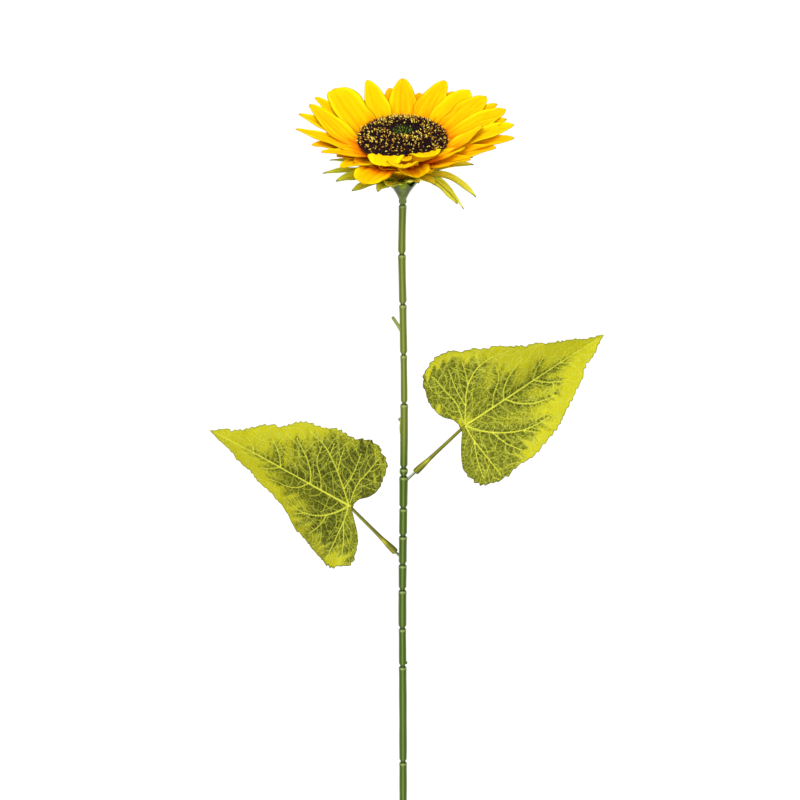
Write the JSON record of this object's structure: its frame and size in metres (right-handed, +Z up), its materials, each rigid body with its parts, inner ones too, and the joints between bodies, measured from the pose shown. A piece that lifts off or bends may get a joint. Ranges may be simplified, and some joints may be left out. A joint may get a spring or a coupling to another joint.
{
  "type": "artificial sunflower stem",
  "caption": "Artificial sunflower: a tall plastic stem with pinched joints and pegs, fabric leaves on socketed stalks, and a nodding head of layered fabric petals round a bristled disc.",
  "frame": {"origin": "centre of the flat cut under the stem, at ground level", "axes": "+Z up along the stem, -Y the way the head nods and the leaves face, +X to the viewer's right, the side of the upper leaf"},
  "size_m": [0.2541, 0.1091, 0.5963],
  "materials": {
    "stem": "satin moulded",
    "calyx": "satin moulded",
    "stalk": "satin moulded",
    "leaf": "printed, pressed veins",
    "bract": "pressed",
    "petal": "dyed, pressed pleats",
    "disc": "bristled",
    "eye": "bristled"
  },
  "bodies": {
    "root": {"stem": "stem", "leaf_right_stalk": "stalk", "leaf_right_blade": "leaf", "leaf_left_stalk": "stalk", "leaf_left_blade": "leaf", "calyx": "calyx", "bract_ring": "bract", "petal_ring_lower": "petal", "petal_ring_middle": "petal", "petal_ring_upper": "petal", "seed_disc": "disc", "disc_eye": "eye"}
  },
  "joints": []
}
